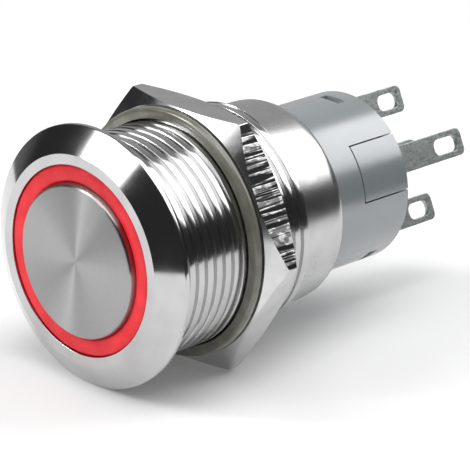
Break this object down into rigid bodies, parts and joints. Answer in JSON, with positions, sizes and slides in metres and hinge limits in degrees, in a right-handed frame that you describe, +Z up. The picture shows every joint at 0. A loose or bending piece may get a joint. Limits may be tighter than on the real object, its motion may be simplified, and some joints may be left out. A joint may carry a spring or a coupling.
{
  "type": "industrial push button",
  "caption": "Round stainless push button with a red light ring, threaded barrel, hexagon lock nut, rubber gasket and blade terminals on a grey contact housing.",
  "frame": {"origin": "on the button's axis, in the plane of the bezel's back face, where it seats on the panel", "axes": "+Y runs along the axis from the button face to the terminals, +Z is up with a flat of the nut on top, +X completes the right-handed frame"},
  "size_m": [0.0248, 0.0409, 0.022],
  "materials": {
    "stainless_steel": "polished turned stainless steel",
    "nut_steel": "bright plated steel with drawn flats",
    "olive_rubber": "smooth olive-brown rubber",
    "red_lens": "translucent red moulding",
    "spun_steel": "spun stainless steel with circular grain",
    "white_plastic": "natural acetal moulding",
    "black_rubber": "black nitrile rubber",
    "spring_steel": "hard drawn steel wire and strip",
    "board_green": "green solder mask",
    "lamp_body": "pale surface lamp body",
    "resistor_body": "black chip resistor",
    "lead_wire": "tinned copper wire",
    "grey_plastic": "light grey moulding, slightly glossy",
    "tinned_brass": "dull tin-plated stamped brass",
    "contact_silver": "silver contact rivet",
    "rocker_brass": "tin-plated stamped brass"
  },
  "bodies": {
    "barrel": {"barrel_body": "stainless_steel", "light_ring": "red_lens", "guide_bush": "white_plastic", "led_board": "board_green", "led_1": "lamp_body", "led_2": "lamp_body", "led_3": "lamp_body", "led_4": "lamp_body", "led_5": "lamp_body", "led_6": "lamp_body", "led_resistor": "resistor_body", "lead_lamp_plus": "lead_wire", "lead_lamp_minus": "lead_wire", "contact_housing": "grey_plastic", "housing_seal": "black_rubber", "terminal_base": "grey_plastic", "terminal_common": "tinned_brass", "terminal_normally_open": "tinned_brass", "terminal_normally_closed": "tinned_brass", "terminal_lamp_plus": "tinned_brass", "terminal_lamp_minus": "tinned_brass", "fixed_contact_open": "contact_silver", "fixed_contact_closed": "contact_silver", "pivot_pin": "spring_steel", "return_spring": "spring_steel", "contact_spring": "spring_steel"},
    "button": {"button_cap": "spun_steel", "button_plunger": "white_plastic", "button_seal": "black_rubber", "retaining_clip": "spring_steel"},
    "rocker": {"contact_rocker": "rocker_brass", "moving_contact_open": "contact_silver", "moving_contact_closed": "contact_silver"},
    "gasket": {"panel_gasket": "olive_rubber"},
    "nut": {"hex_nut": "nut_steel"}
  },
  "joints": [
    {"name": "button_press", "type": "slide", "parent": "barrel", "child": "button", "axis": [0, 1, 0], "range_m": [0, 0.0022], "stiffness_N_per_m": 900, "springref_m": -0.0025, "deforming": ["return_spring", "contact_spring"]},
    {"name": "rocker_tilt", "type": "hinge", "parent": "barrel", "child": "rocker", "pos_m": [0, 0.0202, 0], "axis": [-0.4384, 0, 0.8988], "range_deg": [-8, 0]},
    {"name": "nut_advance", "type": "slide", "parent": "barrel", "child": "gasket", "axis": [0, 1, 0], "range_m": [-0.006, 0.003]},
    {"name": "nut_turn", "type": "hinge", "parent": "gasket", "child": "nut", "pos_m": [0, 0.0103, 0], "axis": [0, 1, 0], "range_deg": [-2160, 1080]}
  ],
  "couplings": [
    {"joint": "rocker_tilt", "follows": "button_press", "rad_per_m": -63},
    {"joint": "nut_advance", "follows": "nut_turn", "m_per_rad": 0.00015915}
  ]
}
